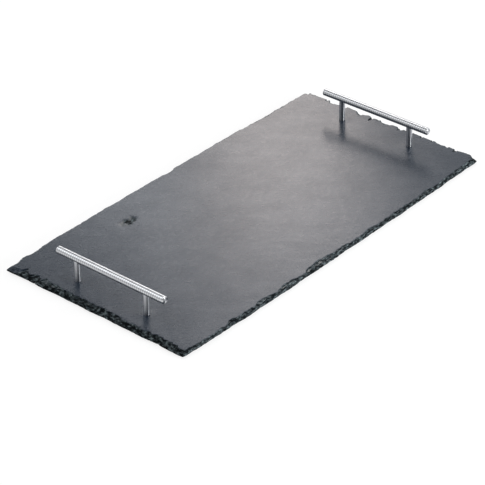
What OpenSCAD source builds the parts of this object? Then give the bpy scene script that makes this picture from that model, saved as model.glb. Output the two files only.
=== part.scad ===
// Slate serving board with two steel bar handles.
// Millimetres, +Z up, the board's length along X. The origin is on the table, under the middle of the board.

/* [Slate] */
// Length of the slate at its lower outline, along X
slate_l = 500; // [300:5:700]
// Width of the slate at its lower outline, along Y
slate_w = 254; // [160:2:400]
// Thickness of the slate
slate_t = 5; // [4:0.5:10]

/* [Dressed edges] */
// Set-back of the bevel along the front
front_bevel = 2.6; // [0.5:0.1:6]
// Set-back of the bevel along the back
back_bevel = 0.5; // [0.5:0.1:6]
// Set-back of the bevel at the left end
left_bevel = 2.8; // [0.5:0.1:6]
// Set-back of the bevel at the right end
right_bevel = 0.9; // [0.5:0.1:6]
// Depth of the deepest flake scar behind the bevel
scar_depth = 10; // [0:0.5:16]
// Half the length of the longest flake scar
scar_reach = 24; // [6:1:40]
// Distance from one flake scar to the next
scar_pitch = 7; // [4:0.5:20]
// Roughness of the broken stone
stone_jag = 0.45; // [0:0.05:1]
// Distance by which the long sides draw in at the corners
side_draw = 3; // [0:0.1:6]
// Depth of the slow waves in the outline
edge_wave = 1; // [0:0.1:2]
// Length of the slow waves in the outline
wave_l = 64; // [30:2:120]
// Distance by which a corner's tip is knocked off
corner_blunt = 1.3; // [0:0.1:3]
// Length of side that a knocked-off corner takes
corner_reach = 6; // [2:0.5:12]
// Distance between the points that shape the edges
edge_step = 2.8; // [2.4:0.2:12]

/* [Handles] */
// Diameter of the bar
bar_d = 8.4; // [6:0.2:14]
// Length of the bar
bar_l = 150; // [110:2:240]
// Chamfer on the bar's ends
bar_chamfer = 0.9; // [0.2:0.1:2]
// Diameter of a post
post_d = 7; // [6:0.2:12]
// Distance between a handle's two posts
post_spacing = 97; // [60:1:160]
// Height of the bar's axis above the slate
bar_rise = 28; // [22:0.5:50]
// Distance from the slate's end to the posts' axes
handle_inset = 29; // [16:1:60]

/* [Fastenings] */
// Outer diameter of the threads
thread_d = 4; // [3:0.5:5]
// Length of screw held in a post
screw_grip = 7.5; // [5:0.5:9]
// Length of stud held in a post
stud_grip = 6.5; // [4:0.5:8]
// Diameter of the screw's pan head
head_d = 7.8; // [6.5:0.1:10]
// Height of the screw's pan head
head_h = 2.4; // [1.6:0.1:3]
// Outer diameter of a washer
washer_d = 9; // [8:0.2:12]
// Thickness of a washer
washer_t = 0.8; // [0.5:0.1:1.5]
// Depth of the round recess over a screw, in the slate's underside
recess_h = 1.6; // [0.5:0.1:2.5]

/* [Pads] */
// Diameter of a pad
pad_d = 15; // [8:0.5:30]
// Height of a pad
pad_h = 2.5; // [2.2:0.1:6]
// Rounding of a pad's lower edge
pad_round = 0.6; // [0.2:0.1:1.2]
// Distance from the slate's edges to a pad's axis
pad_inset = 25; // [14:1:60]

/* [Clearances] */
// Play between a thread and its bore, on the radius
thread_play = 0.05; // [0.02:0.01:0.2]
// Play between a screw and the slate, on the radius
screw_play = 0.35; // [0.1:0.05:0.8]
// Play between a washer and its recess, on the radius
recess_play = 0.75; // [0.2:0.05:1.5]
// Gap between a bar and the saddle of its posts
saddle_gap = 0.02; // [0:0.01:0.1]

/* [Hidden] */
$fn = 96;
slate_z = pad_h;
top_z = slate_z + slate_t;
bar_z = top_z + bar_rise;
handle_x = slate_l / 2 - handle_inset;
post_y = post_spacing / 2;
// Depth of the tapped hole in a bar, as a share of its diameter
bar_tap_share = 0.6;
bar_tap = bar_tap_share * bar_d;
// Spare depth at the end of a tapped bore
bore_spare = 0.8;
// Chamfer on the ends of threads and on the foot of a post
small_chamfer = 0.4;
// Overrun of every cut past the face that it opens
over = 1;
// Cross slot in a screw's head and hexagonal socket in a stud, as shares of the size that carries them
slot_w_share = 0.14;
slot_l_share = 0.56;
slot_h_share = 0.6;
hex_d_share = 0.58;
hex_h_share = 0.5;

// Heights of the edge's levels over the thickness; the pairs are planes on which the stone splits
level_share = [0, 0.4, 0.45, 0.76, 0.81, 1];
// Set-back of the bevel at each level
bevel_share = [0, 0.36, 0.42, 0.7, 0.76, 1];
LEVELS = len(level_share);
// Part of a scar's depth that each of its rises takes; the ledges between them take the rest
RISES = LEVELS / 2;
rise_share = 0.13;
ledge_share = 1 - RISES * rise_share;
// How far the split planes wander in height, over the thickness
plane_wander_share = 0.05;
// Shortest and shallowest random scars
short_share = 0.1;
shallow_share = 0.02;
// Longest and deepest random scars
long_share = 0.5;
deep_share = 0.2;
// Zone by a corner where scars die out, over the reach of the longest
fade_reach_share = 0.7;
// Roughness of the lower outline, over that of the broken stone above it
foot_jag_share = 0.3;
// Length of a long side over which it draws in at a corner
draw_reach_share = 1 / 3;
draw_reach = draw_reach_share * slate_l;
// Two slow waves shape each side: their lengths over wave_l, and their shifts in degrees for each seed
wave_shares = [1, 0.57];
wave_shifts = [40, 70];

// Scars that stand out: place along the side, half-length, depth, and the part that leaves on the lower plane
front_marks_share = [
    [0.146, 0.4, 0.4, 0.7],
    [0.186, 0.6, 0.32, 0.5],
    [0.244, 0.6, 0.45, 0.6],
    [0.326, 0.55, 0.53, 0.5],
    [0.406, 0.5, 0.5, 0],
    [0.428, 0.62, 0.68, 0.1],
    [0.456, 0.38, 0.48, 0.9],
    [0.5, 0.6, 0.3, 0.4],
    [0.6, 0.5, 0.2, 0.6],
    [0.7, 0.6, 0.16, 0.3],
    [0.93, 0.6, 0.18, 0.3],
    [0.98, 0.5, 0.3, 0.8]
];
right_marks_share = [
    [0.1, 0.4, 0.12, 0.8],
    [0.197, 0.36, 0.32, 0.4],
    [0.31, 0.5, 0.2, 0.3],
    [0.4, 0.3, 0.15, 0.6],
    [0.52, 0.38, 0.54, 0.6],
    [0.592, 0.26, 0.28, 0.2],
    [0.67, 0.3, 0.4, 0.7],
    [0.835, 0.38, 0.34, 0.5],
    [0.95, 0.4, 0.2, 0.5]
];
back_marks_share = [
    [0.1, 0.8, 0.3, 0],
    [0.16, 1.1, 0.36, 0],
    [0.215, 0.6, 0.26, 0],
    [0.488, 0.36, 0.42, 0.5],
    [0.62, 0.6, 0.08, 0.5],
    [0.84, 0.5, 0.14, 0.4],
    [0.92, 0.5, 0.42, 0.4]
];
left_marks_share = [
    [0.081, 0.17, 1.3, 0],
    [0.155, 0.32, 0.45, 0.2],
    [0.2, 0.25, 1, 0.05],
    [0.262, 0.42, 0.7, 0.3],
    [0.34, 0.4, 0.28, 0.5],
    [0.43, 0.55, 0.34, 0.6],
    [0.52, 0.5, 0.3, 0.4],
    [0.6, 0.5, 0.4, 0.3],
    [0.7, 0.4, 0.1, 0.5],
    [0.855, 0.3, 0.2, 0.6],
    [0.96, 0.3, 0.3, 0.7]
];

LEFT = -1;
RIGHT = 1;
FRONT = -1;
BACK = 1;
// Each side: its first and last corner, the way inward, its length, its scars that stand out and a seed
SIDES = [
    [[LEFT, FRONT], [RIGHT, FRONT], [0, 1], slate_l, front_marks_share, 11],
    [[RIGHT, FRONT], [RIGHT, BACK], [-1, 0], slate_w, right_marks_share, 23],
    [[RIGHT, BACK], [LEFT, BACK], [0, -1], slate_l, back_marks_share, 37],
    [[LEFT, BACK], [LEFT, FRONT], [1, 0], slate_w, left_marks_share, 53]
];
// Each corner: its place, the draw of its long side, its tip, the bevel of its end and that of its long side
corner_shares = [
    [LEFT, FRONT, 1.2, 0.8, 1, 0.35],
    [LEFT, BACK, 0.4, 0.3, 0.3, 1],
    [RIGHT, FRONT, 0.6, 0.5, 1, 1.1],
    [RIGHT, BACK, 1.1, 2.4, 1, 1]
];
function corner_row(c) = [for (r = corner_shares) if (r[0] == c.x && r[1] == c.y) r][0];
function draw_share(c) = corner_row(c)[2];
function blunt_share(c) = corner_row(c)[3];

CORNERS = [for (x = [LEFT, RIGHT]) for (y = [FRONT, BACK]) [x, y]];
// Distance from the nominal outline to the rectangle that no scar reaches
deepest_share = max([for (side = SIDES) for (m = side[4]) m[2]]);
most_draw = side_draw * max([for (c = CORNERS) draw_share(c)]);
most_bevel = max([for (c = CORNERS) max(end_bevel(c), long_bevel(c))]);
cap_inset = most_bevel + most_draw + edge_wave + 2 * stone_jag + deepest_share * scar_depth;

// Spacing of the rectangle's points at its corners, over that of the outline's
squeeze_share = 1 / 8;

function end_name(x) = x == LEFT ? "left" : "right";
function corner_name(c) = str(end_name(c.x), c.y == FRONT ? "_front" : "_back");
FITTINGS = ["post", "stud", "screw", "washer", "pad"];

function smooth(t) = let (c = min(1, max(0, t))) c * c * (3 - 2 * c);

// Height of a level above the slate's underside
function level_z(k, wander) =
    slate_t * (level_share[k] + (k > 0 && k < LEVELS - 1 ? plane_wander_share * wander : 0));

// Part of a scar's depth that is reached at a level
function scar_at(k, lower_share) =
    min(RISES, ceil(k / 2)) * rise_share
    + ledge_share * ((k >= 2 ? lower_share : 0) + (k >= 4 ? 1 - lower_share : 0));

// Depth of one scar at the distance u along its side; its outline is an arc
function scar_arc(scar, u) =
    scar[2] * sqrt(max(0, 1 - pow((u - scar[0]) / scar[1], 2)));

// Every scar of a side as its centre, half-length, depth and lower part
function side_scars(side) =
    let (
        len_u = side[3],
        count = round(len_u / scar_pitch),
        place = rands(0, 1, count, side[5]),
        size = rands(0, 1, count, side[5] + 1),
        deep = rands(0, 1, count, side[5] + 2),
        lower = rands(0, 1, count, side[5] + 3)
    )
    concat(
        [for (m = side[4]) [m[0] * len_u, m[1] * scar_reach, m[2] * scar_depth, m[3]]],
        [for (i = [0 : count - 1]) [
            (i + place[i]) * len_u / count,
            scar_reach * (short_share + (long_share - short_share) * pow(size[i], 2)),
            scar_depth * (shallow_share + (deep_share - shallow_share) * pow(deep[i], 2)),
            lower[i]
        ]]
    );

// Set-back of the bevel beside a corner, of its end and of its long side
function end_bevel(c) = corner_row(c)[4] * (c.x == LEFT ? left_bevel : right_bevel);
function long_bevel(c) = corner_row(c)[5] * (c.y == FRONT ? front_bevel : back_bevel);

// Corner of the ring at level k
function corner_point(c, k) =
    let (
        tip = corner_blunt * blunt_share(c),
        draw = side_draw * draw_share(c)
    )
    [
        c.x * (slate_l / 2 - end_bevel(c) * bevel_share[k] - tip),
        c.y * (slate_w / 2 - long_bevel(c) * bevel_share[k] - tip - draw)
    ];

// Part of what a corner takes that is left at a distance from it
function fading(gap, reach) = pow(max(0, 1 - gap / reach), 2);

// How far the tip and the draw of the corner c push a side inward at a distance from it
function tip_push(c, gap) = corner_blunt * blunt_share(c) * fading(gap, corner_reach);
function draw_push(c, gap) = side_draw * draw_share(c) * fading(gap, draw_reach);

// How far a side lies inward at its distances from its corners a and b
function side_push(a, b, gap_a, gap_b, long_side) =
    tip_push(a, gap_a) + tip_push(b, gap_b)
    + (long_side ? draw_push(a, gap_a) + draw_push(b, gap_b) : 0);

// Number of stations on a side
function station_count(side) = round(side[3] / edge_step);

// Slow wave of the outline at the distance u along a side, from none to edge_wave
function wave_at(u, seed) =
    let (waves = [for (i = [0, 1]) sin(360 * u / (wave_l * wave_shares[i]) + wave_shifts[i] * seed)])
    edge_wave / 2 * (1 + (waves[0] + waves[1]) / 2);

// Points of one side, as one list per station with a point for each level
function side_points(side) =
    let (
        a = side[0],
        b = side[1],
        inward = side[2],
        len_u = side[3],
        scars = side_scars(side),
        steps = station_count(side),
        jag = rands(-1, 1, (steps + 1) * (LEVELS + 1), side[5] + 4),
        long_side = inward.x == 0,
        push_a = side_push(a, b, 0, len_u, long_side),
        push_b = side_push(a, b, len_u, 0, long_side)
    )
    [for (j = [0 : steps - 1])
        let (
            f = j / steps,
            u = f * len_u,
            gap = min(u, len_u - u),
            fade = smooth(gap / (fade_reach_share * scar_reach)),
            push = side_push(a, b, u, len_u - u, long_side) - push_a * (1 - f) - push_b * f,
            near = [for (s = scars) if (abs(s[0] - u) < s[1]) s],
            wave = wave_at(u, side[5]) * fade
        )
        [for (k = [0 : LEVELS - 1])
            let (
                base = corner_point(a, k) * (1 - f) + corner_point(b, k) * f,
                cut = max([0, for (s = near) scar_arc(s, u) * scar_at(k, s[3])]) * fade,
                rough = stone_jag * (1 + jag[j * (LEVELS + 1) + k]) * (k == 0 ? foot_jag_share : 1) * fade,
                set = wave + cut + rough + push,
                at = base + inward * set
            )
            [at.x, at.y, level_z(k, jag[j * (LEVELS + 1) + LEVELS])]
        ]
    ];

// Points of a rectangle inside every scar, one for each station of a side, which the flat faces are built on
function cap_points(side) =
    let (
        inward = side[2],
        along = [inward.y, -inward.x],
        start = [side[0].x * slate_l / 2, side[0].y * slate_w / 2],
        len_u = side[3],
        steps = station_count(side)
    )
    [for (j = [0 : steps - 1])
        let (
            u = j / steps * len_u,
            gap = min(u, len_u - u),
            from_end = max(gap, cap_inset + squeeze_share * gap)
        )
        start + inward * cap_inset + along * (u < len_u / 2 ? from_end : len_u - from_end)
    ];

// The stone with its four dressed edges, lofted through the levels, standing on its flat underside
module dressed_stone() {
    stations = [for (side = SIDES) each side_points(side)];
    caps = [for (side = SIDES) each cap_points(side)];
    n = len(stations);
    points = concat(
        [for (p = caps) [p.x, p.y, 0]],
        [for (k = [0 : LEVELS - 1]) for (s = stations) s[k]],
        [for (p = caps) [p.x, p.y, slate_t]],
        [[0, 0, 0], [0, 0, slate_t]]
    );
    last = (LEVELS + 1) * n;
    bands = [for (k = [0 : LEVELS]) for (i = [0 : n - 1])
        let (
            a = k * n + i,
            b = k * n + (i + 1) % n,
            c = a + n,
            d = b + n
        )
        each ((i + k) % 2 == 0 && k > 0 && k < LEVELS ? [[a, c, d], [a, d, b]] : [[a, c, b], [b, c, d]])
    ];
    middles = [for (i = [0 : n - 1])
        let (next = (i + 1) % n)
        each [[i, next, last + n], [last + next, last + i, last + n + 1]]
    ];
    polyhedron(points = points, faces = concat(bands, middles));
}

module slate_slab() {
    color("#4b5259")
    difference() {
        translate([0, 0, slate_z]) dressed_stone();
        for (c = CORNERS) {
            translate([c.x * handle_x, c.y * post_y, slate_z - over]) {
                cylinder(d = thread_d + 2 * screw_play, h = slate_t + 2 * over);
                cylinder(d = washer_d + 2 * recess_play, h = recess_h + over);
            }
        }
    }
}

// Round rod on the Z axis with a chamfer at both ends
module chamfered_rod(d, h, chamfer) {
    rotate_extrude() polygon([
        [0, 0],
        [d / 2 - chamfer, 0],
        [d / 2, chamfer],
        [d / 2, h - chamfer],
        [d / 2 - chamfer, h],
        [0, h]
    ]);
}

module bar(x) {
    color("#c9cbce")
    difference() {
        translate([x * handle_x, bar_l / 2, bar_z])
            rotate([90, 0, 0])
            chamfered_rod(bar_d, bar_l, bar_chamfer);
        for (y = [FRONT, BACK]) {
            translate([x * handle_x, y * post_y, bar_z - bar_d / 2 - over])
                cylinder(d = thread_d + 2 * thread_play, h = bar_tap + over);
        }
    }
}

module post(c) {
    color("#b9bcc0")
    translate([c.x * handle_x, c.y * post_y, top_z])
    difference() {
        rotate_extrude() polygon([
            [0, 0],
            [post_d / 2 - small_chamfer, 0],
            [post_d / 2, small_chamfer],
            [post_d / 2, bar_rise],
            [0, bar_rise]
        ]);
        translate([0, post_d, bar_rise])
            rotate([90, 0, 0])
            cylinder(d = bar_d + 2 * saddle_gap, h = 2 * post_d);
        translate([0, 0, -over])
            cylinder(d = thread_d + 2 * thread_play, h = screw_grip + bore_spare + over);
        translate([0, 0, bar_rise - bar_d / 2 - stud_grip - bore_spare])
            cylinder(d = thread_d + 2 * thread_play, h = bar_rise);
    }
}

module stud(c) {
    length = stud_grip + bar_tap - bore_spare;
    color("#8f9296")
    translate([c.x * handle_x, c.y * post_y, bar_z - bar_d / 2 - stud_grip])
    difference() {
        chamfered_rod(thread_d, length, small_chamfer);
        translate([0, 0, -over])
            cylinder(d = hex_d_share * thread_d, h = hex_h_share * thread_d + over, $fn = 6);
    }
}

// Pan head, face down, with its seat at the height 0; the crown is an arc over the whole width
module pan_head() {
    crown_share = 0.45;
    crown_h = crown_share * head_h;
    crown_r = (pow(head_d / 2, 2) + pow(crown_h, 2)) / (2 * crown_h);
    slot_l = slot_l_share * head_d;
    slot_w = slot_w_share * head_d;
    slot_h = slot_h_share * head_h;
    difference() {
        intersection() {
            translate([0, 0, -head_h]) cylinder(d = head_d, h = head_h);
            translate([0, 0, crown_r - head_h]) sphere(r = crown_r);
        }
        translate([0, 0, slot_h - head_h]) intersection() {
            for (turn = [0, 90]) {
                rotate([0, 0, turn])
                    translate([-slot_l / 2, -slot_w / 2, -slot_h - over])
                    cube([slot_l, slot_w, slot_h + over]);
            }
            translate([0, 0, -slot_h - over])
                cylinder(d1 = slot_l + 2 * over, d2 = slot_w, h = slot_h + over);
        }
    }
}

module screw(c) {
    seat_z = slate_z + recess_h - washer_t;
    color("#a9acb0")
    translate([c.x * handle_x, c.y * post_y, seat_z]) {
        pan_head();
        cylinder(d = thread_d, h = small_chamfer);
        chamfered_rod(thread_d, washer_t + slate_t - recess_h + screw_grip, small_chamfer);
    }
}

module washer(c) {
    color("#9da0a4")
    translate([c.x * handle_x, c.y * post_y, slate_z + recess_h - washer_t])
    difference() {
        cylinder(d = washer_d, h = washer_t);
        translate([0, 0, -over])
            cylinder(d = thread_d + 2 * screw_play, h = washer_t + 2 * over);
    }
}

module pad(c) {
    r = pad_d / 2;
    color("#26282a")
    translate([c.x * (slate_l / 2 - pad_inset), c.y * (slate_w / 2 - pad_inset), 0])
    rotate_extrude() union() {
        square([r - pad_round, pad_h]);
        translate([0, pad_round]) square([r, pad_h - pad_round]);
        translate([r - pad_round, pad_round]) circle(r = pad_round);
    }
}

slate_slab();
for (x = [LEFT, RIGHT]) {
    bar(x);
}
for (c = CORNERS) {
    post(c);
    stud(c);
    screw(c);
    washer(c);
    pad(c);
}
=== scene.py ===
"""Looks for the slate serving board: dressed stone, brushed bars, turned posts, fastenings and pads."""

import math

import bpy
import numpy as np
from mathutils import Matrix, Quaternion, Vector, noise
from mathutils.bvhtree import BVHTree
from mathutils.geometry import delaunay_2d_cdt


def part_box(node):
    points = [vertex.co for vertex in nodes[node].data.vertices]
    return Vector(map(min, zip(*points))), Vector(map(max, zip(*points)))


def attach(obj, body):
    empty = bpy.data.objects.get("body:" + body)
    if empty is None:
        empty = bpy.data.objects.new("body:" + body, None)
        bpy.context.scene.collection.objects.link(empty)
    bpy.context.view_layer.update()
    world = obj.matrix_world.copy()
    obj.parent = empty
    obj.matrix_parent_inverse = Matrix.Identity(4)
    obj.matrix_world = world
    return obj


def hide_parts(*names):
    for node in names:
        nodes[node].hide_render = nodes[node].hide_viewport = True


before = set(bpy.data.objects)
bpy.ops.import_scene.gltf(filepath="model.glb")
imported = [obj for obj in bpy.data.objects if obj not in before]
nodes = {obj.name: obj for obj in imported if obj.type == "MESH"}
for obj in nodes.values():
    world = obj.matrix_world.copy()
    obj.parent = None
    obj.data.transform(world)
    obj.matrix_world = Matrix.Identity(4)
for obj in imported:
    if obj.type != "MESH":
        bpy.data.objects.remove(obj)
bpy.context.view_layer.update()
MM = 0.001
# Corners that the posts, their fastenings and the pads are named after
CORNERS = [f"{x}_{y}" for x in ("left", "right") for y in ("front", "back")]


def middle(node):
    """Middle of a CAD node's box."""
    low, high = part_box(node)
    return (low + high) / 2


def add_object(name, data):
    """Adds an object with this mesh, lamp or camera to the scene."""
    piece = bpy.data.objects.new(name, data)
    bpy.context.scene.collection.objects.link(piece)
    return piece


def use_material(piece, material):
    """Gives a piece one material, in place of any that it has."""
    piece.data.materials.clear()
    piece.data.materials.append(material)


# Camera, at the photograph's viewing angle

CAMERA_AZIMUTH = math.radians(-49.10)
CAMERA_HEIGHT = math.radians(32.39)
CAMERA_ROLL = math.radians(-0.80)
CAMERA_DISTANCE = 2.3496
CAMERA_TARGET = Vector((-0.0503, -0.03028, 0.0025))
# Lens and sensor width, in mm
CAMERA_LENS, CAMERA_SENSOR = 163.14, 36
# Distance at which its view ends
CAMERA_CLIP = 60


def add_camera():
    """A long lens that looks down on the board over its left front corner."""
    data = bpy.data.cameras.new("camera")
    data.lens = CAMERA_LENS
    data.sensor_width = CAMERA_SENSOR
    data.clip_end = CAMERA_CLIP
    back = Vector((
        math.sin(CAMERA_AZIMUTH) * math.cos(CAMERA_HEIGHT),
        -math.cos(CAMERA_AZIMUTH) * math.cos(CAMERA_HEIGHT),
        math.sin(CAMERA_HEIGHT),
    ))
    turn = back.to_track_quat("Z", "Y") @ Quaternion((0, 0, 1), CAMERA_ROLL)
    place = Matrix.Translation(CAMERA_TARGET + back * CAMERA_DISTANCE)
    camera = add_object("camera", data)
    camera.matrix_world = place @ turn.to_matrix().to_4x4()
    bpy.context.scene.camera = camera


# Materials

# Part of a noise pattern's range, from 0 to 1, in which nearly all of its values lie
NOISE_LOW, NOISE_HIGH = 0.3, 0.7
# Radians that a wave texture turns to a unit, at a scale of 1
WAVE_TURN = 20


class Nodes:
    """Nodes of a material or a world; an input given as a socket is linked, and any other is set."""

    def __init__(self, owner):
        self.owner = owner
        owner.use_nodes = True
        self.tree = owner.node_tree
        self.tree.nodes.clear()

    def add(self, kind, settings=None, **inputs):
        """Adds a node; each input goes by its label, or by its number as i0, i1 and so on."""
        node = self.tree.nodes.new(kind)
        for key, value in (settings or {}).items():
            setattr(node, key, value)
        for key, value in inputs.items():
            numbered = key[0] == "i" and key[1:].isdigit()
            socket = node.inputs[int(key[1:]) if numbered else key.replace("_", " ")]
            if isinstance(value, bpy.types.NodeSocket):
                self.tree.links.new(value, socket)
            else:
                socket.default_value = value
        return node

    def coordinates(self, scale=(1, 1, 1), turn=0.0):
        """Object coordinates in millimetres, turned about Z and then scaled."""
        point = self.add("ShaderNodeTexCoord").outputs["Object"]
        in_mm = self.add("ShaderNodeMapping", Vector=point, Scale=(1 / MM, 1 / MM, 1 / MM))
        turned = self.add("ShaderNodeMapping", Vector=in_mm.outputs[0], Rotation=(0, 0, turn))
        return self.add("ShaderNodeMapping", Vector=turned.outputs[0], Scale=scale).outputs[0]

    def noise(self, vector, scale, detail=4.0, roughness=0.55):
        """Noise from 0 to 1; the scale is the number of its features to a millimetre."""
        settings = {"Vector": vector, "Scale": scale, "Detail": detail, "Roughness": roughness}
        return self.add("ShaderNodeTexNoise", **settings).outputs["Fac"]

    def waves(self, vector, axis, pitch):
        """Waves from 0 to 1 along an axis."""
        scale = math.tau / (WAVE_TURN * pitch)
        marks = self.add("ShaderNodeTexWave", {"bands_direction": axis}, Vector=vector, Scale=scale)
        return marks.outputs["Fac"]

    def ramp(self, value, low, high, to_low=0.0, to_high=1.0):
        """Maps low and high to the other two values, with a smooth step between them."""
        inputs = {"i0": value, "i1": low, "i2": high, "i3": to_low, "i4": to_high}
        return self.add("ShaderNodeMapRange", {"interpolation_type": "SMOOTHSTEP"}, **inputs).outputs[0]

    def spread(self, pattern, low, high):
        """Maps a noise pattern to the range from low to high."""
        return self.ramp(pattern, NOISE_LOW, NOISE_HIGH, low, high)

    def math(self, operation, a, b):
        return self.add("ShaderNodeMath", {"operation": operation}, i0=a, i1=b).outputs[0]

    def dot(self, a, b):
        return self.add("ShaderNodeVectorMath", {"operation": "DOT_PRODUCT"}, i0=a, i1=b).outputs["Value"]

    def mix(self, factor, a, b):
        return self.add("ShaderNodeMix", i0=factor, i2=a, i3=b).outputs[0]

    def mix_color(self, factor, a, b):
        return self.add("ShaderNodeMix", {"data_type": "RGBA"}, i0=factor, i6=a, i7=b).outputs[2]

    def bump(self, height, depth_mm, under=None):
        """Bump of a depth in millimetres, on top of another one where that is given."""
        extra = {"Normal": under} if under is not None else {}
        return self.add("ShaderNodeBump", Height=height, Distance=depth_mm * MM, **extra).outputs[0]

    def emit(self, color, strength):
        return self.add("ShaderNodeEmission", Color=color, Strength=strength).outputs[0]

    def output(self, surface):
        """Ends the nodes of a material in a surface, and gives the material."""
        self.add("ShaderNodeOutputMaterial", Surface=surface)
        return self.owner

    def finish(self, **inputs):
        """Ends the nodes of a material in one shader with these inputs, and gives the material."""
        return self.output(self.add("ShaderNodeBsdfPrincipled", **inputs).outputs[0])


def material_nodes(name):
    """Nodes of a new material."""
    return Nodes(bpy.data.materials.new(name))


def rgb(r, g, b):
    """Opaque colour."""
    return (r, g, b, 1.0)


# Slate: the clouds and the grain of its cleft face, the ledges that the knapping bares, and broken stone

CLOUD_DARK, CLOUD_LIGHT = rgb(0.011, 0.018, 0.029), rgb(0.015, 0.022, 0.033)
GRAIN_LIGHT = rgb(0.025, 0.034, 0.048)
LEDGE_DARK, LEDGE_LIGHT = rgb(0.005, 0.010, 0.015), rgb(0.030, 0.046, 0.056)
# Broken stone: a near black painted shade for the hollows of its bump, and the stone's colour on its raised
# facets
BROKEN_PAINTED_SHADE, BROKEN_LIGHT = rgb(0.003, 0.005, 0.006), rgb(0.040, 0.050, 0.054)
# Painted glints: pale flecks on the broken stone's highest facets
PAINTED_GLINT = rgb(0.120, 0.146, 0.155)
CLEFT_SHINE, LEDGE_SHINE = rgb(0.86, 0.91, 1.0), rgb(0.90, 0.97, 1.0)
SLATE_IOR = 1.48
# Angle of the cleft grain over the board's length
GRAIN_TURN = math.radians(44)


def cleft_material():
    """Oiled anthracite slate as it splits: satin, with a fine grain one way."""
    n = material_nodes("slate_cleft")
    along_grain = n.coordinates(scale=(0.22, 1.0, 1.0), turn=GRAIN_TURN)
    along_dents = n.coordinates(scale=(0.45, 1.0, 1.0), turn=GRAIN_TURN)
    along_patches = n.coordinates(scale=(0.5, 1.0, 1.0), turn=GRAIN_TURN)
    cloud = n.noise(n.coordinates(), scale=0.02, detail=3)
    grain = n.noise(along_grain, scale=0.30, detail=3, roughness=0.5)
    fine = n.noise(along_grain, scale=0.9, detail=5, roughness=0.68)
    dents = n.noise(along_dents, scale=0.17, detail=5, roughness=0.66)
    patch = n.noise(along_patches, scale=0.045, detail=4, roughness=0.6)
    clouded = n.mix_color(n.ramp(cloud, 0.35, 0.65), CLOUD_DARK, CLOUD_LIGHT)
    uneven = n.bump(grain, depth_mm=0.02, under=n.bump(dents, depth_mm=0.07))
    return n.finish(
        Base_Color=n.mix_color(n.ramp(fine, 0.40, 0.66), clouded, GRAIN_LIGHT),
        Roughness=n.spread(fine, 0.26, 0.32),
        IOR=SLATE_IOR,
        Specular_IOR_Level=n.spread(patch, 0.44, 0.56),
        Specular_Tint=CLEFT_SHINE,
        Normal=n.bump(fine, depth_mm=0.022, under=uneven),
    )


def ledge_material():
    """The split planes that the knapping bares at the edge: satin too, but pitted."""
    n = material_nodes("slate_ledge")
    grit = n.noise(n.coordinates(), scale=0.8, detail=5, roughness=0.7)
    return n.finish(
        Base_Color=n.mix_color(n.ramp(grit, 0.42, 0.68), LEDGE_DARK, LEDGE_LIGHT),
        Roughness=n.spread(grit, 0.27, 0.40),
        IOR=SLATE_IOR,
        Specular_Tint=LEDGE_SHINE,
        Normal=n.bump(grit, depth_mm=0.045),
    )


def broken_material():
    """Slate where it is knapped: matt, with painted shade that darkens the hollows of its bump nearly to
    black, and painted glints as pale flecks on its highest facets.
    """
    n = material_nodes("slate_broken")
    grit = n.noise(n.coordinates(), scale=1.3, detail=4, roughness=0.6)
    facet = n.noise(n.coordinates(scale=(0.5, 0.5, 1.5)), scale=0.42, detail=3, roughness=0.55)
    # The facet pattern that raises the bump also paints its hollows dark (painted shade) and its highest
    # facets pale (painted glints)
    stone = n.mix_color(n.ramp(facet, 0.44, 0.55), BROKEN_PAINTED_SHADE, BROKEN_LIGHT)
    return n.finish(
        Base_Color=n.mix_color(n.ramp(facet, 0.575, 0.63), stone, PAINTED_GLINT),
        Roughness=n.spread(grit, 0.40, 0.65),
        IOR=SLATE_IOR,
        Specular_IOR_Level=0.05,
        Normal=n.bump(grit, depth_mm=0.25, under=n.bump(facet, depth_mm=1.2)),
    )


# Metal and rubber

# Scale of a turned piece's rings round the piece, where their scale along its axis is 1
ROUND_SCALE = 0.02
# Share of the evenly spaced marks in the rings of a piece that has them
MARK_SHARE = 0.4
# Quarter turn that lays the shine of turned metal along its axis
SHINE_TURN = 0.25


def turned_material(name, axis, dark, light, ring_scale, roughness, bump_mm, stretch, mark_pitch=None):
    """Steel turned or brushed round its axis: fine rings, and a shine that spreads along the axis."""
    n = material_nodes(name)
    squash = [1.0 if own == axis else ROUND_SCALE for own in "XYZ"]
    rings = n.noise(n.coordinates(scale=squash), ring_scale, detail=4, roughness=0.65)
    if mark_pitch:
        marks = n.waves(n.coordinates(), axis, mark_pitch)
        plain, marked = n.math("MULTIPLY", rings, 1 - MARK_SHARE), n.math("MULTIPLY", marks, MARK_SHARE)
        rings = n.math("ADD", plain, marked)
    round_axis = n.add("ShaderNodeTangent", {"direction_type": "RADIAL", "axis": axis}).outputs[0]
    return n.finish(
        Base_Color=n.mix_color(n.ramp(rings, 0.36, 0.64), dark, light),
        Metallic=1.0,
        Roughness=n.spread(rings, *roughness),
        Anisotropic=stretch,
        Anisotropic_Rotation=SHINE_TURN,
        Tangent=round_axis,
        Normal=n.bump(rings, bump_mm),
    )


def bar_material():
    """The bars, which lie along Y: brushed, with faint marks at an even pitch."""
    return turned_material(
        "brushed_steel", "Y", rgb(0.51, 0.525, 0.55), rgb(0.75, 0.76, 0.78),
        ring_scale=1.1, roughness=(0.31, 0.34), bump_mm=0.002, stretch=0.97, mark_pitch=2.8,
    )


def post_material():
    """The posts, which stand along Z: turned, and smoother than the bars."""
    return turned_material(
        "turned_steel", "Z", rgb(0.54, 0.555, 0.58), rgb(0.62, 0.635, 0.66),
        ring_scale=1.6, roughness=(0.275, 0.285), bump_mm=0.0004, stretch=0.90,
    )


def zinc_material(name, dark, light, roughness, grain_scale, bump_mm):
    """Zinc plating with a faint uneven grain."""
    n = material_nodes(name)
    grain = n.noise(n.coordinates(), grain_scale)
    return n.finish(
        Base_Color=n.mix_color(n.ramp(grain, NOISE_LOW, NOISE_HIGH), dark, light),
        Metallic=1.0,
        Roughness=n.spread(grain, *roughness),
        Normal=n.bump(grain, bump_mm),
    )


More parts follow.
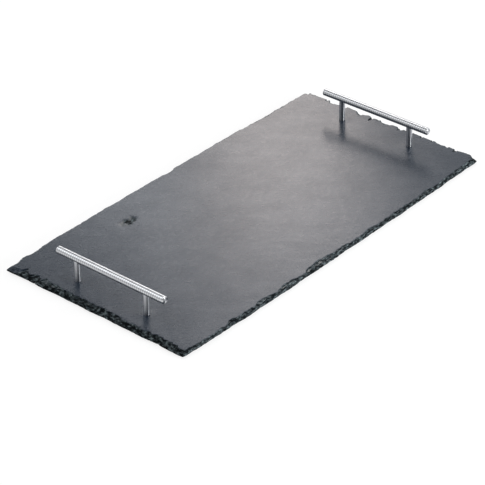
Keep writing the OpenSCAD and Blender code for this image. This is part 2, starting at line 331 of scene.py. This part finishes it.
def rubber_material():
    """Matt black rubber."""
    n = material_nodes("rubber")
    grain = n.noise(n.coordinates(), scale=3.0, detail=5, roughness=0.7)
    wear = n.noise(n.coordinates(), scale=0.3, detail=2)
    return n.finish(
        Base_Color=n.mix_color(n.ramp(wear, 0.35, 0.65), rgb(0.012, 0.012, 0.013), rgb(0.024, 0.024, 0.025)),
        Roughness=n.spread(grain, 0.62, 0.82),
        Normal=n.bump(grain, depth_mm=0.06),
    )


# Zinc plating: darker and lighter colour, range of roughness, scale of the grain and depth of its bump in mm
ZINC = {
    "stud": (rgb(0.42, 0.43, 0.45), rgb(0.58, 0.59, 0.60), (0.28, 0.42), 2.0, 0.02),
    "screw": (rgb(0.52, 0.53, 0.55), rgb(0.70, 0.70, 0.71), (0.22, 0.36), 2.0, 0.015),
    "washer": (rgb(0.50, 0.51, 0.53), rgb(0.66, 0.66, 0.67), (0.26, 0.40), 2.5, 0.015),
}


def dress_fittings():
    """Gives every fitting that keeps its CAD shape its finish."""
    bar = bar_material()
    for side in ("left", "right"):
        use_material(nodes[f"{side}_bar"], bar)
    finishes = {"post": post_material(), "pad": rubber_material()}
    for fitting, look in ZINC.items():
        finishes[fitting] = zinc_material(f"zinc_{fitting}", *look)
    for corner in CORNERS:
        for fitting, finish in finishes.items():
            use_material(nodes[f"{corner}_{fitting}"], finish)


# The slate. Each sheet that it splits into has a ragged edge of its own, set back from the one below

# Levels between the sheets, as shares of the stone's thickness
SHEETS = (0.0, 0.10, 0.24, 0.36, 0.50, 0.62, 0.76, 0.89, 1.0)
# Distance between the stations along the edge, and how far from a corner they start to fan out
STATION = 0.65 * MM
CORNER_FAN = 48 * MM
# Rings round the cleft face: how deep they reach from the board's box, and how they widen inward
RING_DEPTH = 16 * MM
RINGS = 7
RING_GROWTH = 1.5
# Points inside the rings: their spacing, how far they stray, and how far they keep from the rings and a bore
INNER_STEP = 2.6 * MM
INNER_STRAY = 0.5 * MM
RING_CLEAR_SHARE = 0.6
BORE_CLEAR = 1.5 * MM
# Bores for the screws, and the recesses for their heads in the underside
BORE_SIDES = 64
BORE_R = 2.35 * MM
RECESS_R = 5.25 * MM
RECESS_H = 1.6 * MM
# Where a ray that looks for the CAD stone starts, out from a station
RAY_LEAD = 20 * MM
# Edges sharper than this aren't smoothed over
SHARP = math.radians(32)
# Points nearer than this are one point to the triangulation
SAME_POINT = 1e-8
# Shift of the noise for each seed
SEED_X, SEED_Y, SEED_Z = 17.3, 9.1, 3.7

# Shares of the thickness at which the CAD stone's outline and its scars are read
OUTLINE_SHARE, SCAR_SHARE = 0.004, 0.95
# A sheet reads the CAD stone a little over or under its own level: how far, on the long and right sides and
# on the left, and the lowest and highest share that it can come to
LEVEL_STRAYS = (0.09, 0.26)
LEVEL_SHARES = (0.02, 0.99)
# How far the CAD stone's scars are eased, on the long and right sides and on the left
SCAR_EASES = (1.7 * MM, 0.8 * MM)
# Where a CAD scar is deeper than the first, less is struck off beside it, and past both together nothing
SCARRED_FROM, SCARRED_BLEND = 5 * MM, 4 * MM
# A sheet's least step back from the one below, and the farthest that any comes in
LEAST_STEP = 0.03 * MM
DEEPEST = 13.5 * MM
# Depth of a sheet's fine raggedness, and how far the flakes' places wander along the edge
FINE_DEPTH = 0.16 * MM
WOBBLE_SPAN = 0.7 * MM

# Bands along the stone's sides: the side, how wide the band is, and how far it blends
LEFT_BAND = ("left", 14 * MM, 6 * MM)
RIGHT_BAND = ("right", 14 * MM, 6 * MM)
BACK_BAND = ("back", 20 * MM, 8 * MM)
# The back left corner, which is worn thin, and the front right tip, which slopes up
THIN_CORNER = (("left", 26 * MM, 20 * MM), ("back", 22 * MM, 12 * MM))
SLOPED_TIP = (("right", 16 * MM, 12 * MM), ("front", 14 * MM, 10 * MM))
LEFT_SLOPE, CORNER_SLOPE, TIP_SLOPE = 2.4 * MM, 8.0 * MM, 5.0 * MM
# Share of the thickness from which the thin corner is worn
THIN_FROM = 0.3

# Sets of flakes: pitch along the edge, ranges of reach, depth and lowest level, and seed
SEED = 29
LARGE_FLAKES = (13 * MM, (3.0 * MM, 9.0 * MM), (0.4 * MM, 2.4 * MM), (0.25, 0.9), SEED)
MEDIUM_FLAKES = (4.2 * MM, (1.5 * MM, 4.5 * MM), (0.3 * MM, 2.6 * MM), (0.05, 0.95), SEED + 1)
SMALL_FLAKES = (2.0 * MM, (0.7 * MM, 2.4 * MM), (0.1 * MM, 1.3 * MM), (0.0, 0.95), SEED + 2)
NICKS = (8 * MM, (2.0 * MM, 5.0 * MM), (0.1 * MM, 0.8 * MM), (-0.9, -0.1), SEED + 3)
SPIKES = (9 * MM, (2.0 * MM, 4.6 * MM), (1.5 * MM, 5.5 * MM), (0.15, 0.85), SEED + 4)
BAYS = (17 * MM, (0.9 * MM, 2.8 * MM), (3.2 * MM, 6.5 * MM), (0.55, 0.80), SEED + 5)
# Range over which flakes lean along the edge
FLAKE_LEAN = 1.7
# Share of a flake's depth that it has at its lowest level, and the share that it gains up to the top
FLAKE_LOW, FLAKE_GAIN = 0.72, 0.28
# Level just over the top, so that a flake that starts there has a rise to divide by
OVER_TOP = 1.001
# How strongly flakes and nicks are struck, on the long and right sides and on the left
VIGOURS = (0.45, 1.0)
NICK_VIGOURS = (0.7, 0.25)
# How much of the flakes' vigour the back and right sides lose, and the back left corner
FAR_LOSS, CORNER_LOSS = 0.5, 0.7
# How strongly the left side's spikes are struck, in front and at the back, and where the back part begins
SPIKE_VIGOURS = (0.3, 1.0)
SPIKES_FROM, SPIKES_BLEND = 45 * MM, 20 * MM

# Gashes in the far edge's upper sheets: place along it, depth and half width
GASHES = (
    (24 * MM, 8.0 * MM, 2.0 * MM),
    (-18 * MM, 3.8 * MM, 3.2 * MM),
    (42 * MM, 2.6 * MM, 3.2 * MM),
    (84 * MM, 2.8 * MM, 4.2 * MM),
)
# Share of the thickness over which the gashes cut in
GASH_FLOOR = 0.35
# A gash this deep has broken treads
GASH_BROKEN = 0.5 * MM

# Broken side of a sheet: the share of the step to the next sheet that it leans over, its spread and limits
SIDE_LEAN, SIDE_SPREAD = 0.42, 0.75
SIDE_LEANS = (0.10, 0.92)
# A tread wider than this shows the split plane: on the long sides, and on the left and right
SEEN_TREADS = (0.45 * MM, 1.5 * MM)
# How far a sheet's side starts over the tread below it
TREAD_LIFT = 0.05 * MM
# Spread of the levels between the sheets, as a share of the thickness
LEVEL_SPREAD = 0.03
# Worn rim of the top sheet: how far its side leans in, how that varies, where the rim ends, and its drop
HEAD_RUN, HEAD_SPREAD = 0.22 * MM, 0.8
WORN_RUN, WORN_DROP = 0.75 * MM, 0.10 * MM

# Relief of the cleft face: depths of its long and short waves and of a layer that is missing in places
LONG_DEPTH, SHORT_DEPTH, LAYER_DEPTH = 0.055 * MM, 0.03 * MM, 0.05 * MM
# Scale of the relief along the grain, and where and how steeply the missing layer begins
GRAIN_SQUASH = 0.3
LAYER_FROM, LAYER_STEEPNESS = 0.05, 14
# The relief fades out towards a post: where it ends, and the width over which it fades
FOOT_CLEAR, FOOT_BLEND = 4 * MM, 8 * MM
# Pit in the cleft face: its middle, half size and depth, and the depths that bare its sides and its floor
PIT = Vector((-0.101, 0.0875))
PIT_SIZE = Vector((12 * MM, 5.5 * MM))
PIT_DEPTH = 1.4 * MM
PIT_BARE, PIT_BROKEN = 0.35 * MM, 0.70 * MM
# How steep the pit's side is, how ragged its outline is, and the middle and spread of its floor's depth
PIT_STEEPNESS, PIT_RAGGED = 2, 1.1
PIT_FLOOR, PIT_SPREAD = 0.66, 0.55

# Noise patterns: the size of their features, and a seed, to which a sheet adds its own number
WOBBLE = (3 * MM, 1)
INNER_X, INNER_Y = (1.7 * MM, 8), (1.7 * MM, 9)
LONG_WAVES, SHORT_WAVES, LAYER = (24 * MM, 10), (7 * MM, 11), (40 * MM, 12)
PIT_OUTLINE, PIT_BED = (5 * MM, 14), (3.4 * MM, 15)
FINE = (1.2 * MM, 20)
LEVEL = (6 * MM, 30)
TREAD = (2 * MM, 40)
SIDE = (3.5 * MM, 50)
HEAD = (2.2 * MM, 60)
STRAY = (4.5 * MM, 70)

# Finishes of the faces, by their place in the mesh's list of materials
CLEFT, BROKEN, LEDGE = 0, 1, 2


def smooth(t):
    """Smooth step from 0 to 1."""
    t = np.clip(t, 0, 1)
    return t * t * (3 - 2 * t)


def between(low, high, share):
    """Value at a share of the way from low to high."""
    return low + (high - low) * share


def ragged(p, pattern, sheet=0):
    """Smooth noise from -1 to 1 at a plane point."""
    size, seed = pattern
    seed += sheet
    return noise.noise(Vector((p.x / size + seed * SEED_X, p.y / size - seed * SEED_Y, seed * SEED_Z)))


def ragged_along(points, pattern, sheet=0):
    """The same noise at each of some points."""
    return np.array([ragged(p, pattern, sheet) for p in points])


class Stone:
    """The CAD slab, which the dressed stone is shaped on, and the relief of its cleft face."""

    def __init__(self):
        slab = nodes["slate_slab"].data
        self.tree = BVHTree.FromPolygons([v.co for v in slab.vertices], [p.vertices for p in slab.polygons])
        self.low, self.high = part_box("slate_slab")
        self.half = (self.high - self.low) / 2
        self.mid = (self.high + self.low) / 2
        self.thick = self.high.z - self.low.z
        self.feet = [middle(f"{corner}_post").xy for corner in CORNERS]

    def inset(self, start, way, share):
        """How far inward from a point the CAD stone begins, at a share of its thickness."""
        origin = start - way * RAY_LEAD
        level = self.low.z + self.thick * share
        hit = self.tree.ray_cast(Vector((origin.x, origin.y, level)), Vector((way.x, way.y, 0)))
        return hit[3] - RAY_LEAD

    def from_feet(self, p):
        """Distance from a point to the middle of the nearest post."""
        return min((p - foot).length for foot in self.feet)

    def relief(self, p):
        """Depth of the cleft face below the board's top at a point."""
        turned = Matrix.Rotation(-GRAIN_TURN, 2) @ p
        along = Vector((turned.x * GRAIN_SQUASH, turned.y))
        long = LONG_DEPTH * (1 + ragged(along, LONG_WAVES))
        short = SHORT_DEPTH * (1 + ragged(along, SHORT_WAVES))
        layer = LAYER_DEPTH * smooth((ragged(along, LAYER) - LAYER_FROM) * LAYER_STEEPNESS)
        fade = smooth((self.from_feet(p) - FOOT_CLEAR) / FOOT_BLEND)
        return float((long + short + layer + self.pit(p)) * fade)

    def pit(self, p):
        """Depth of the pit at a point."""
        inside = 1 - ((p.x - PIT.x) / PIT_SIZE.x) ** 2 - ((p.y - PIT.y) / PIT_SIZE.y) ** 2
        inside += PIT_RAGGED * ragged(p, PIT_OUTLINE)
        bed = PIT_FLOOR + PIT_SPREAD * ragged(p, PIT_BED)
        return PIT_DEPTH * max(0.0, min(1.0, inside * PIT_STEEPNESS)) * max(0.0, bed)


class Flakes:
    """Scars struck off the edge at seeded places: lopsided arcs from a lowest level up, deeper higher up."""

    def __init__(self, length, pitch, reach, depth, floor, seed):
        rng = np.random.default_rng(seed)
        count = int(length / pitch)
        self.length = length
        self.at = (np.arange(count) + rng.random(count)) * length / count
        self.reach = between(*reach, rng.random(count) ** 2)
        self.depth = between(*depth, rng.random(count) ** 2)
        self.floor = between(*floor, rng.random(count))
        self.lean = (rng.random(count) - 0.5) * FLAKE_LEAN

    def insets(self, places, level):
        """How deep the deepest flake is at each place along the edge, at a level."""
        away = places[:, None] - self.at[None]
        away = (away + self.length / 2) % self.length - self.length / 2
        away = away / self.reach[None] - self.lean[None]
        away = away / np.where(away > 0, 1 - self.lean, 1 + self.lean)
        arc = np.sqrt(np.maximum(0, 1 - away**2))
        rise = np.clip((level - self.floor) / (OVER_TOP - self.floor), 0, 1)
        share = np.where(level > self.floor, FLAKE_LOW + FLAKE_GAIN * rise, 0)
        return (self.depth * share * arc).max(1)


def stations(half):
    """Pairs of points round the board, counter-clockwise: one on its box, and one drawn in by the rings."""
    corners = ((-1, -1), (1, -1), (1, 1), (-1, 1))
    pairs = []
    for a, b in zip(corners, corners[1:] + corners[:1]):
        start = Vector((half.x * a[0], half.y * a[1]))
        end = Vector((half.x * b[0], half.y * b[1]))
        length = (end - start).length
        along = (end - start) / length
        inward = Vector((-along.y, along.x))
        count = round(length / STATION)
        for i in range(count):
            at = length * i / count
            near, far = max(0, 1 - at / CORNER_FAN), max(0, 1 - (length - at) / CORNER_FAN)
            point = start + along * at
            fanned = along * (RING_DEPTH * (near**2 - far**2))
            pairs.append((point, point + inward * RING_DEPTH + fanned))
    return pairs


class Edge:
    """The dressed edge: stations round the board's box, and how far each sheet begins inward from them."""

    def __init__(self, stone):
        pairs = stations(stone.half)
        self.stone = stone
        self.ways = [(b - a).normalized() for a, b in pairs]
        self.reach = np.array([(b - a).length for a, b in pairs])
        self.starts = [a + stone.mid.xy for a, _ in pairs]
        self.outline = self.read(np.full(len(pairs), OUTLINE_SHARE))
        self.rim = [p + way * d for p, way, d in zip(self.starts, self.ways, self.outline)]
        self.x, self.y = (np.array(values) for values in zip(*self.rim))
        self.places = np.cumsum([(p - self.rim[i - 1]).length for i, p in enumerate(self.rim)])
        self.set_zones()
        self.set_flakes()
        self.sheets = []
        for k in range(len(SHEETS) - 1):
            own = self.inset(k)
            if self.sheets:
                own = np.maximum(own, self.sheets[-1] + LEAST_STEP)
            self.sheets.append(own)

    def read(self, shares):
        """How far inward the CAD stone begins at each station, at shares of its thickness."""
        spots = zip(self.starts, self.ways, shares)
        return np.array([self.stone.inset(start, way, share) for start, way, share in spots])

    def zone(self, *bands):
        """1 at the stations that lie in all of these bands, and 0 at the others."""
        low, high = self.stone.low, self.stone.high
        share = 1.0
        for side, width, blend in bands:
            inside = {
                "left": low.x + width - self.x,
                "right": self.x - high.x + width,
                "front": low.y + width - self.y,
                "back": self.y - high.y + width,
            }[side]
            share = share * smooth(inside / blend)
        return share

    def set_zones(self):
        """Where the sides and the thin corner are, and the slopes, gashes and room to strike flakes off."""
        self.left, self.right, self.back = map(self.zone, (LEFT_BAND, RIGHT_BAND, BACK_BAND))
        self.thin = self.zone(*THIN_CORNER)
        self.slope = LEFT_SLOPE * self.left * (1 - self.back) + TIP_SLOPE * self.zone(*SLOPED_TIP)
        self.seen_tread = between(*SEEN_TREADS, np.maximum(self.left, self.right))
        scarred = self.read(np.full(len(self.starts), SCAR_SHARE))
        self.room = 1 - smooth((scarred - SCARRED_FROM) / SCARRED_BLEND)
        arcs = [deep * np.sqrt(np.maximum(0, 1 - ((self.y - at) / half) ** 2)) for at, deep, half in GASHES]
        self.gash = np.max(arcs, axis=0) * (self.right > 0.5)

    def set_flakes(self):
        """Sets of flakes, and how strongly each is struck at the stations."""
        length = self.places[-1]
        self.wobbled = self.places + WOBBLE_SPAN * ragged_along(self.rim, WOBBLE)
        self.flakes = [Flakes(length, *sizes) for sizes in (LARGE_FLAKES, MEDIUM_FLAKES, SMALL_FLAKES)]
        self.nicks, self.spikes, self.bays = (Flakes(length, *sizes) for sizes in (NICKS, SPIKES, BAYS))
        far = 1 - FAR_LOSS * np.maximum(self.back, self.right)
        self.vigour = between(*VIGOURS, self.left) * far * (1 - CORNER_LOSS * self.left * self.back)
        spiked = between(*SPIKE_VIGOURS, smooth((self.y - SPIKES_FROM) / SPIKES_BLEND))
        self.spiky = self.left * (1 - self.back) * spiked

    def inset(self, k):
        """How far inward a sheet begins at each station, if it isn't held back by the sheet below."""
        level = (SHEETS[k] + SHEETS[k + 1]) / 2
        stray = between(*LEVEL_STRAYS, self.left) * ragged_along(self.rim, STRAY, k)
        cad = self.read(np.clip(level + stray, *LEVEL_SHARES))
        depths = [flakes.insets(self.wobbled, level) for flakes in self.flakes]
        struck = np.max(depths, axis=0) * self.vigour
        struck = np.maximum(struck, self.spikes.insets(self.wobbled, level) * self.spiky)
        struck = np.maximum(struck, self.bays.insets(self.places, level) * self.right)
        nicked = self.nicks.insets(self.places, level) * between(*NICK_VIGOURS, self.left)
        fine = FINE_DEPTH * (1 + ragged_along(self.rim, FINE, k))
        thinned = CORNER_SLOPE * self.thin * max(0.0, level - THIN_FROM)
        eased = np.maximum(cad - between(*SCAR_EASES, self.left), self.outline)
        own = eased + struck * self.room + fine + nicked
        own = own + (self.slope * level + thinned) * self.room
        return np.minimum(own + self.gash * (level > GASH_FLOOR), DEEPEST)

    def side_finishes(self, k):
        """Finish of a sheet's side at each station: broken, but cleft where the corner is worn thin."""
        return [CLEFT if thin > 0.5 and SHEETS[k] > THIN_FROM else BROKEN for thin in self.thin]

    def tread_finish(self, i, width):
        """Finish of the tread between two sheets' sides at a station."""
        if self.thin[i] > 0.5:
            return CLEFT
        return LEDGE if width > self.seen_tread[i] and self.gash[i] < GASH_BROKEN else BROKEN


class Shell:
    """Vertices and faces of the dressed stone, with a finish to each face."""

    def __init__(self, stone, edge):
        self.stone, self.edge = stone, edge
        self.vertices, self.faces, self.finishes = [], [], []

    def put(self, p, height):
        """Adds a vertex at a plane point and a height over the underside, and gives its number."""
        self.vertices.append((p.x, p.y, self.stone.low.z + height))
        return len(self.vertices) - 1

    def put_on_cleft(self, p, drop=0.0):
        """Adds a vertex on the cleft face or a little below it."""
        return self.put(p, self.stone.thick - drop - self.stone.relief(p))

    def split_height(self, k, p):
        """Height of the plane under a sheet at a point."""
        return (SHEETS[k] + LEVEL_SPREAD * ragged(p, LEVEL, k)) * self.stone.thick if k else 0.0

    def foot_height(self, k, p):
        """Height at which a sheet's side starts at a point."""
        return self.split_height(k, p) + TREAD_LIFT * (1 + ragged(p, TREAD, k)) if k else 0.0

    def band(self, outer, inner, finishes):
        """Joins two loops of equal length by a ring of faces."""
        for i, finish in enumerate(finishes):
            j = (i + 1) % len(outer)
            self.faces.append((outer[i], outer[j], inner[j], inner[i]))
            self.finishes.append(finish)

    def lower_sheet(self, k):
        """Loops at the foot and the head of a lower sheet's side, and the finishes of the tread past it."""
        foot, head, treads = [], [], []
        lower, upper = self.edge.sheets[k:k + 2]
        for i, (start, way) in enumerate(zip(self.edge.starts, self.edge.ways)):
            p = start + way * lower[i]
            foot.append(self.put(p, self.foot_height(k, p)))
            lean = SIDE_LEAN + SIDE_SPREAD * ragged(p, SIDE, k)
            step = upper[i] - lower[i]
            run = step * min(SIDE_LEANS[1], max(SIDE_LEANS[0], lean))
            q = p + way * run
            head.append(self.put(q, self.split_height(k + 1, q)))
            treads.append(self.edge.tread_finish(i, step - run))
        return foot, head, treads

    def top_sheet(self, k):
        """Loops at the foot and the head of the top sheet's worn side, and the finishes past it."""
        foot, head = [], []
        for start, way, inset in zip(self.edge.starts, self.edge.ways, self.edge.sheets[k]):
            p = start + way * inset
            foot.append(self.put(p, self.foot_height(k, p)))
            q = p + way * (HEAD_RUN * (1 + HEAD_SPREAD * ragged(p, HEAD)))
            head.append(self.put_on_cleft(q, WORN_DROP))
        return foot, head, [CLEFT] * len(head)

    def ring(self, share):
        """Loop on the cleft face, at a share of the way from the worn rim to the innermost ring."""
        loop = []
        spots = zip(self.edge.starts, self.edge.ways, self.edge.reach, self.edge.sheets[-1])
        for start, way, reach, inset in spots:
            first = inset + WORN_RUN
            loop.append(self.put_on_cleft(start + way * (first + (reach - first) * share)))
        return loop

    def add_edge(self):
        """Sheets' sides and treads, and rings on the cleft face; gives the lowest and the innermost loop."""
        loops, finishes = [], []
        top = len(self.edge.sheets) - 1
        for k in range(top + 1):
            foot, head, treads = self.top_sheet(k) if k == top else self.lower_sheet(k)
            loops += [foot, head]
            finishes += [self.edge.side_finishes(k), treads]
        loops += [self.ring((k / RINGS) ** RING_GROWTH) for k in range(RINGS + 1)]
        finishes += [[CLEFT] * len(loops[0])] * RINGS
        for outer, inner, row in zip(loops, loops[1:], finishes):
            self.band(outer, inner, row)
        return loops[0], loops[-1]

    def add_bore(self, foot):
        """A screw's bore and recess; gives the loops at its top and at its mouth."""
        turns = np.arange(BORE_SIDES) * 2 * math.pi / BORE_SIDES
        circle = [Vector((math.cos(t), math.sin(t))) for t in turns]
        profile = ((BORE_R, self.stone.thick), (BORE_R, RECESS_H), (RECESS_R, RECESS_H), (RECESS_R, 0.0))
        loops = [[self.put(foot + d * radius, height) for d in circle] for radius, height in profile]
        for upper, lower in zip(loops, loops[1:]):
            self.band(upper, lower, [CLEFT] * BORE_SIDES)
        return loops[0], loops[-1]

    def add_inner_points(self):
        """A slightly uneven grid of points on the cleft face, inside the rings and clear of the bores."""
        margin = RING_DEPTH + INNER_STEP * RING_CLEAR_SHARE
        span = self.stone.half - Vector((margin, margin, 0))
        rows, columns = round(2 * span.y / INNER_STEP), round(2 * span.x / INNER_STEP)
        points = []
        for r in range(rows + 1):
            for c in range(columns + 1):
                p = Vector((-span.x + 2 * span.x * c / columns, -span.y + 2 * span.y * r / rows))
                p += self.stone.mid.xy
                p += Vector((ragged(p, INNER_X), ragged(p, INNER_Y))) * INNER_STRAY
                if self.stone.from_feet(p) > BORE_R + BORE_CLEAR:
                    points.append(self.put_on_cleft(p))
        return points

    def pit_finish(self, face):
        """Finish of a face of the top, by how far it lies below the board's top."""
        depth = self.stone.high.z - sum(self.vertices[i][2] for i in face) / len(face)
        return BROKEN if depth > PIT_BROKEN else LEDGE if depth > PIT_BARE else CLEFT

    def add_top(self, loop, bores):
        """The cleft face inside the innermost ring, with the bores left open."""
        for face in fill(self.vertices, loop, bores, self.add_inner_points()):
            self.faces.append(face)
            self.finishes.append(self.pit_finish(face))

    def add_underside(self, loop, mouths):
        """The flat underside, with the recesses left open."""
        for face in fill(self.vertices, loop, mouths, []):
            self.faces.append(face[::-1])
            self.finishes.append(CLEFT)


def fill(vertices, loop, holes, inside):
    """Upward triangles between an outer loop and round holes, through the points inside."""
    order = list(loop) + [i for hole in holes for i in hole] + list(inside)
    edges = []
    at = len(loop)
    for hole in holes:
        edges += [(at + i, at + (i + 1) % len(hole)) for i in range(len(hole))]
        at += len(hole)
    points = [Vector(vertices[i][:2]) for i in order]
    outline = list(range(len(loop)))
    keep_inside = 1
    out = delaunay_2d_cdt(points, edges, [outline], keep_inside, SAME_POINT)
    spots, triangles, origin = out[0], out[2], out[3]
    hole_of = {i: h for h, hole in enumerate(holes) for i in hole}
    faces = []
    for t in triangles:
        face = [order[origin[i][0]] for i in t]
        across = {hole_of.get(i, -1) for i in face}
        if len(across) == 1 and across != {-1}:
            continue
        a, b, c = (spots[i] for i in t)
        faces.append(tuple(face if (b - a).cross(c - a) > 0 else reversed(face)))
    return faces


def build_slate():
    """The dressed stone, in place of the CAD slab."""
    stone = Stone()
    shell = Shell(stone, Edge(stone))
    lowest, innermost = shell.add_edge()
    bores, mouths = zip(*[shell.add_bore(foot) for foot in stone.feet])
    shell.add_top(innermost, bores)
    shell.add_underside(lowest, mouths)

    mesh = bpy.data.meshes.new("slate")
    mesh.from_pydata(shell.vertices, [], shell.faces)
    for material in (cleft_material(), broken_material(), ledge_material()):
        mesh.materials.append(material)
    for face, finish in zip(mesh.polygons, shell.finishes):
        face.material_index = finish
    mesh.shade_smooth()
    mesh.set_sharp_from_angle(angle=SHARP)
    piece = add_object("slate", mesh)
    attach(piece, "root")
    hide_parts("slate_slab")


# Floor, world and lights

FLOOR_SIZE = (18.0, 18.0)
# The floor's white, the strength of its glow, and the share of the glow in what the camera sees
FLOOR_COLOR, FLOOR_GLOW, GLOW_SHARE = 0.86, 1.06, 0.78
# The floor in reflections and bounced light, in mm: a strip of painted shadow by the board's left edge; and,
# in reflections only, a brighter patch of painted light in front
SHADE_AT, SHADE_HALF, SHADE_LEFT = 253.0, 6.0, 0.03
FRONT_FROM, FRONT_TO, FRONT_GLOW = 140.0, 120.0, 1.2
# The world's colour, and its strength to the camera, in reflections and as a light, which is dim on the left
WORLD_COLOR = rgb(0.97, 0.985, 1.0)
WORLD_SEEN, WORLD_GLOSSY = 1.0, 0.92
WORLD_DIFFUSE, WORLD_LEFT = 0.60, 0.03
LEFT_SIDE = (-1, 0, 0)
LEFT_FROM, LEFT_TO = 0.1, 0.7
# Direction of the studio's dark side, behind the camera, and how much of the white is left there
DARK_SIDE = Vector((-0.76, -0.55, 0.30)).normalized()
DARK_FROM, DARK_TO = 0.28, 0.62
DARK_LEFT = 0.10
# Dark cards, each with its place and size: one over the bars, for the thin dark line along their tops, and
# one over the far side, for the darker left end
FLAGS = {
    "flag": ((0.09, 0.0, 0.98), (0.66, 2.4)),
    "left_flag": ((0.385, 0.58, 0.57), (0.22, 0.40)),
}
# What is left of the white on a dark card
FLAG_STRENGTH = 0.03
# Softboxes: place, the point that each faces, width and height, and watts
SOFTBOXES = {
    "key": ((-0.9, 0.5, 1.7), (0, 0, 0), (1.7, 1.7), 14),
    "back": ((0.915, 0.715, 0.57), (0.15, 0.02, 0), (0.26, 0.40), 1.74),
    "back_left": ((0.56, 0.76, 0.60), (-0.1, 0.1, 0), (0.22, 0.20), 0.60),
    "front_top": ((0.37, 0.32, 0.57), (-0.2, -0.12, 0), (0.28, 0.25), 0.26),
    "front_middle": ((0.70, 0.40, 0.57), (0, -0.12, 0), (0.24, 0.20), 0.17),
    "right_side": ((0.55, -1.7, 0.5), (0.1, 0, 0), (0.5, 0.8), 18),
    "right_fill": ((0.15, -2.0, 0.40), (0, 0, 0), (1.6, 0.6), 26),
    "left_side": ((-1.7, 0.40, 0.6), (-0.1, 0, 0), (0.30, 0.9), 0.5),
}
# Colour of the back softbox
WARM = (1.0, 0.885, 0.81)


def add_card(name, place, size, downward=False):
    """Flat rectangle that faces up or down."""
    x, y, z = place
    w, h = size[0] / 2, size[1] / 2
    corners = [(x - w, y - h, z), (x + w, y - h, z), (x + w, y + h, z), (x - w, y + h, z)]
    mesh = bpy.data.meshes.new(name)
    mesh.from_pydata(corners, [], [(0, 3, 2, 1) if downward else (0, 1, 2, 3)])
    return add_object(name, mesh)


def floor_material():
    """White that glows to the camera and in reflections, with painted shadow in a strip by the board's left
    edge, in reflections and bounced light, and painted light on a brighter patch in front, in reflections.
    """
    n = material_nodes("floor")
    path = n.add("ShaderNodeLightPath").outputs
    place = n.add("ShaderNodeSeparateXYZ", i0=n.coordinates()).outputs
    # Painted shadow: the floor darkens in a strip by the board's left edge for every ray but the camera's
    off = n.math("ABSOLUTE", n.math("ADD", place[0], SHADE_AT), 0.0)
    dim = n.ramp(off, SHADE_HALF, SHADE_HALF * 2, SHADE_LEFT, 1.0)
    # Painted light: the floor glows brighter in front, to reflections only
    front = n.ramp(place[1], -FRONT_FROM, -FRONT_TO, FRONT_GLOW, 1.0)
    seen = n.math("MAXIMUM", path["Is Camera Ray"], n.math("MULTIPLY", path["Is Glossy Ray"], dim))
    unseen = n.math("SUBTRACT", 1.0, path["Is Camera Ray"])
    bare = n.math("SUBTRACT", 1.0, n.math("MULTIPLY", unseen, n.math("SUBTRACT", 1.0, dim)))
    white = n.mix_color(bare, rgb(0, 0, 0), rgb(FLOOR_COLOR, FLOOR_COLOR, FLOOR_COLOR))
    gain = n.math("MULTIPLY", path["Is Glossy Ray"], n.math("SUBTRACT", front, 1.0))
    lit = n.add("ShaderNodeBsdfDiffuse", Color=white).outputs[0]
    glow = n.emit(rgb(1, 1, 1), n.math("ADD", FLOOR_GLOW, gain))
    share = n.math("MULTIPLY", seen, GLOW_SHARE)
    return n.output(n.add("ShaderNodeMixShader", i0=share, i1=lit, i2=glow).outputs[0])


def add_floor():
    """White table top: it reads white to the camera and in the metal, and keeps the board's shadow."""
    floor = add_card("floor", (0, 0, 0), FLOOR_SIZE)
    use_material(floor, floor_material())


def add_world():
    """White studio: white to the camera, lower as a light, and dark behind the camera in reflections."""
    world = bpy.data.worlds.new("studio")
    n = Nodes(world)
    path = n.add("ShaderNodeLightPath").outputs
    way = n.add("ShaderNodeTexCoord").outputs["Generated"]
    reflected = n.ramp(n.dot(way, DARK_SIDE), DARK_FROM, DARK_TO, WORLD_GLOSSY, DARK_LEFT)
    shining = n.ramp(n.dot(way, LEFT_SIDE), LEFT_FROM, LEFT_TO, WORLD_DIFFUSE, WORLD_LEFT)
    light = n.mix(path["Is Glossy Ray"], shining, reflected)
    direct = n.math("MAXIMUM", path["Is Camera Ray"], path["Is Transmission Ray"])
    background = n.add("ShaderNodeBackground", Color=WORLD_COLOR, Strength=n.mix(direct, light, WORLD_SEEN))
    n.add("ShaderNodeOutputWorld", Surface=background.outputs[0])
    bpy.context.scene.world = world


def add_flag(name, place, size):
    """Dark card that only reflections see."""
    flag = add_card(name, place, size, downward=True)
    n = material_nodes(name)
    use_material(flag, n.output(n.emit(rgb(1, 1, 1), FLAG_STRENGTH)))
    flag.visible_camera = flag.visible_diffuse = flag.visible_shadow = False


def add_softbox(name, place, target, size, watts):
    """Rectangular softbox that faces a point."""
    data = bpy.data.lights.new(name, "AREA")
    data.shape = "RECTANGLE"
    data.size, data.size_y = size
    data.energy = watts
    lamp = add_object(name, data)
    lamp.location = place
    lamp.rotation_euler = (Vector(place) - Vector(target)).to_track_quat("Z", "Y").to_euler()
    return lamp


def add_lights():
    """All softboxes; the back one is warm, and reflections don't see the fill."""
    lamps = {name: add_softbox(name, *settings) for name, settings in SOFTBOXES.items()}
    lamps["back"].data.color = WARM
    lamps["right_fill"].visible_glossy = False


bpy.context.scene.view_settings.view_transform = "Standard"
add_camera()
add_floor()
add_world()
for name, settings in FLAGS.items():
    add_flag(name, *settings)
add_lights()
dress_fittings()
build_slate()
